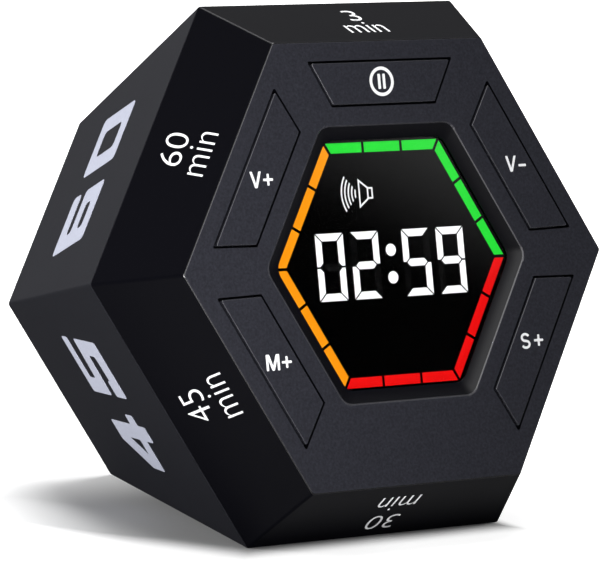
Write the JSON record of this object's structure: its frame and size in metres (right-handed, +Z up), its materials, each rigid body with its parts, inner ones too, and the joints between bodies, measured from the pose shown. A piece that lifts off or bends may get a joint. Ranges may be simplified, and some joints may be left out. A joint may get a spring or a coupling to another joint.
{
  "type": "digital timer",
  "caption": "Hexagonal countdown timer that stands on any of its sides, with a lit digital display in a hexagonal window, flush keys round it, and a speaker and charging socket behind.",
  "frame": {"origin": "middle of the timer's footprint box, on the surface that it stands on", "axes": "+X to the right seen from the front, across the corners; +Y to the back; +Z up. The display's own axis leans back 14.9 degrees, because the timer stands on its lower rear facet"},
  "size_m": [0.0798, 0.0626, 0.0669],
  "materials": {
    "front_shell": "fine satin texture",
    "rear_shell": "fine satin texture",
    "key_cap": "fine satin texture",
    "window_lens": "smoked acrylic, polished",
    "tape": "adhesive tape",
    "display_housing": "matte",
    "digit_light": "lit diffuser",
    "symbol_light": "lit diffuser",
    "idle_light": "unlit diffuser",
    "green_light": "lit diffuser",
    "orange_light": "lit diffuser",
    "red_light": "lit diffuser",
    "tinned_pin": "tinned",
    "circuit_board": "green solder mask",
    "chip": "moulded epoxy",
    "cell_pouch": "foil pouch",
    "foam": "foam",
    "connector": "nylon",
    "red_wire": "insulation",
    "black_wire": "insulation",
    "speaker_frame": "pressed steel",
    "cone_film": "film",
    "magnet": "plated",
    "socket_steel": "nickel plated",
    "tongue": "moulded",
    "switch_body": "moulded",
    "plunger": "moulded",
    "slider": "moulded",
    "screw_steel": "zinc plated",
    "case_screw_steel": "black oxide",
    "label_ink": "pad printed white ink",
    "number_ink": "pad printed pale ink"
  },
  "bodies": {
    "housing": {"front_shell": "front_shell", "rear_shell": "rear_shell", "window_lens": "window_lens", "lens_tape": "tape", "display_housing": "display_housing", "digit_segments": "digit_light", "speaker_symbol": "symbol_light", "idle_segments": "idle_light", "bars_green": "green_light", "bars_orange": "orange_light", "bars_red": "red_light", "display_pins": "tinned_pin", "main_board": "circuit_board", "charge_board": "circuit_board", "microcontroller": "chip", "gravity_sensor": "chip", "display_driver": "chip", "battery_cell": "cell_pouch", "battery_pad": "foam", "battery_header": "connector", "battery_plug": "connector", "battery_lead": "red_wire", "speaker_basket": "speaker_frame", "speaker_cone": "cone_film", "speaker_magnet": "magnet", "speaker_gasket": "foam", "speaker_header": "connector", "speaker_plug": "connector", "speaker_lead": "black_wire", "charge_header": "connector", "charge_plug": "connector", "charge_lead": "red_wire", "usb_socket": "socket_steel", "usb_tongue": "tongue", "power_switch": "switch_body", "board_screws": "screw_steel", "case_screws": "case_screw_steel", "charge_board_screws": "screw_steel", "pause_switch": "switch_body", "volume_down_switch": "switch_body", "second_switch": "switch_body", "minute_switch": "switch_body", "volume_up_switch": "switch_body"},
    "pause_key": {"pause_key": "key_cap", "pause_plunger": "plunger"},
    "volume_down_key": {"volume_down_key": "key_cap", "volume_down_plunger": "plunger"},
    "second_key": {"second_key": "key_cap", "second_plunger": "plunger"},
    "minute_key": {"minute_key": "key_cap", "minute_plunger": "plunger"},
    "volume_up_key": {"volume_up_key": "key_cap", "volume_up_plunger": "plunger"},
    "power_slider": {"power_slider": "slider"}
  },
  "joints": [
    {"name": "pause_press", "type": "slide", "parent": "housing", "child": "pause_key", "axis": [0, 0.9664, -0.2569], "range_m": [0, 0.0003], "stiffness_N_per_m": 1500, "springref_m": -0.0005},
    {"name": "volume_down_press", "type": "slide", "parent": "housing", "child": "volume_down_key", "axis": [0, 0.9664, -0.2569], "range_m": [0, 0.0003], "stiffness_N_per_m": 1500, "springref_m": -0.0005},
    {"name": "second_press", "type": "slide", "parent": "housing", "child": "second_key", "axis": [0, 0.9664, -0.2569], "range_m": [0, 0.0003], "stiffness_N_per_m": 1500, "springref_m": -0.0005},
    {"name": "minute_press", "type": "slide", "parent": "housing", "child": "minute_key", "axis": [0, 0.9664, -0.2569], "range_m": [0, 0.0003], "stiffness_N_per_m": 1500, "springref_m": -0.0005},
    {"name": "volume_up_press", "type": "slide", "parent": "housing", "child": "volume_up_key", "axis": [0, 0.9664, -0.2569], "range_m": [0, 0.0003], "stiffness_N_per_m": 1500, "springref_m": -0.0005},
    {"name": "power_slide", "type": "slide", "parent": "housing", "child": "power_slider", "axis": [1, 0, 0], "range_m": [0, 0.002]}
  ]
}
